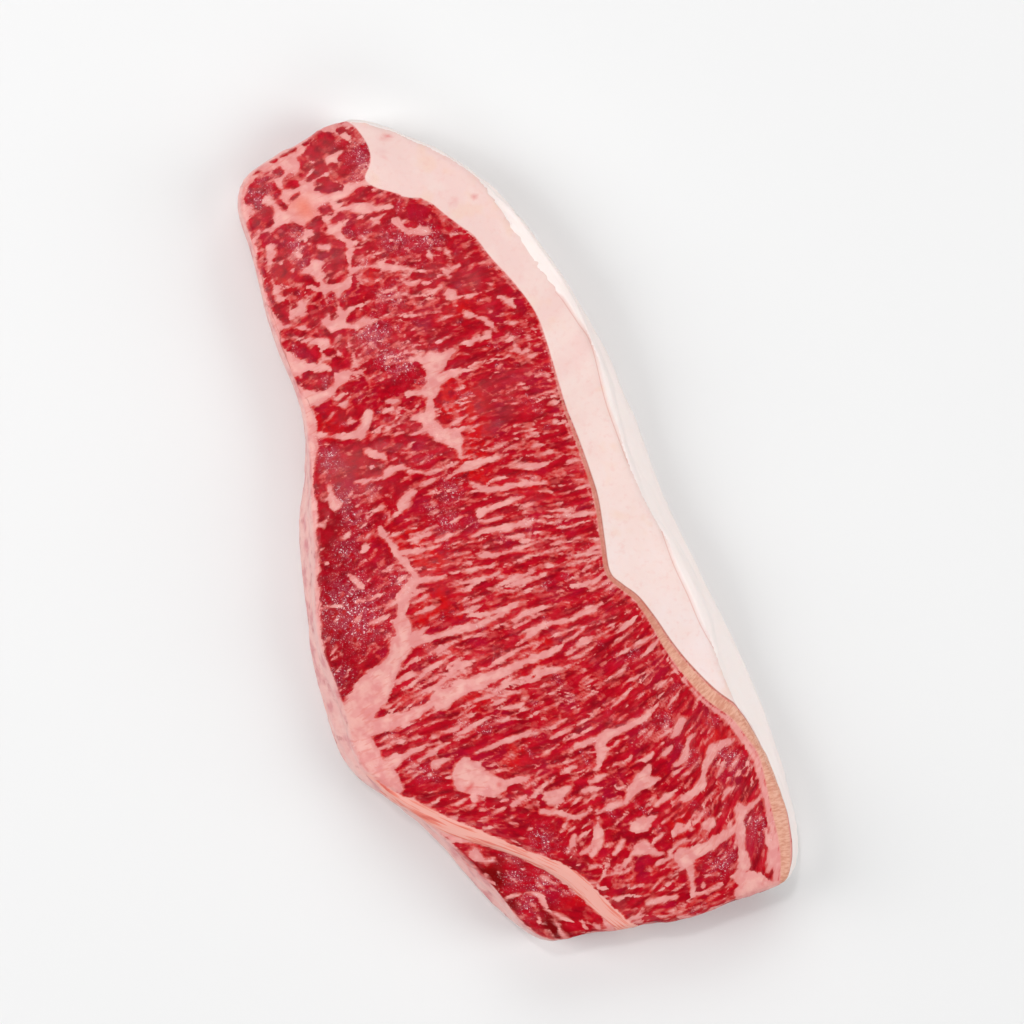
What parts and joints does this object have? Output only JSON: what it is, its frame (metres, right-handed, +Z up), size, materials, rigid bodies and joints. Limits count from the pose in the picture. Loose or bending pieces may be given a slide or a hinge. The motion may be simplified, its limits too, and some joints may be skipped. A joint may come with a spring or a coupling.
{
  "type": "raw sirloin steak",
  "caption": "Raw sirloin steak lying flat: a long slab of heavily marbled beef with a thick fat cap down one side and a silverskin seam across its tail.",
  "frame": {"origin": "on the surface the steak lies on, under the centre of its bounding box", "axes": "+Z up through the cut face, +Y towards the narrow head end, +X towards the side with the fat cap"},
  "size_m": [0.1462, 0.2136, 0.0208],
  "materials": {
    "marbled_beef": "moist cut meat: crimson lean streaked with pinkish white fat, a cream fat cap, satin with small wet glints"
  },
  "bodies": {
    "root": {"steak": "marbled_beef"}
  },
  "joints": []
}
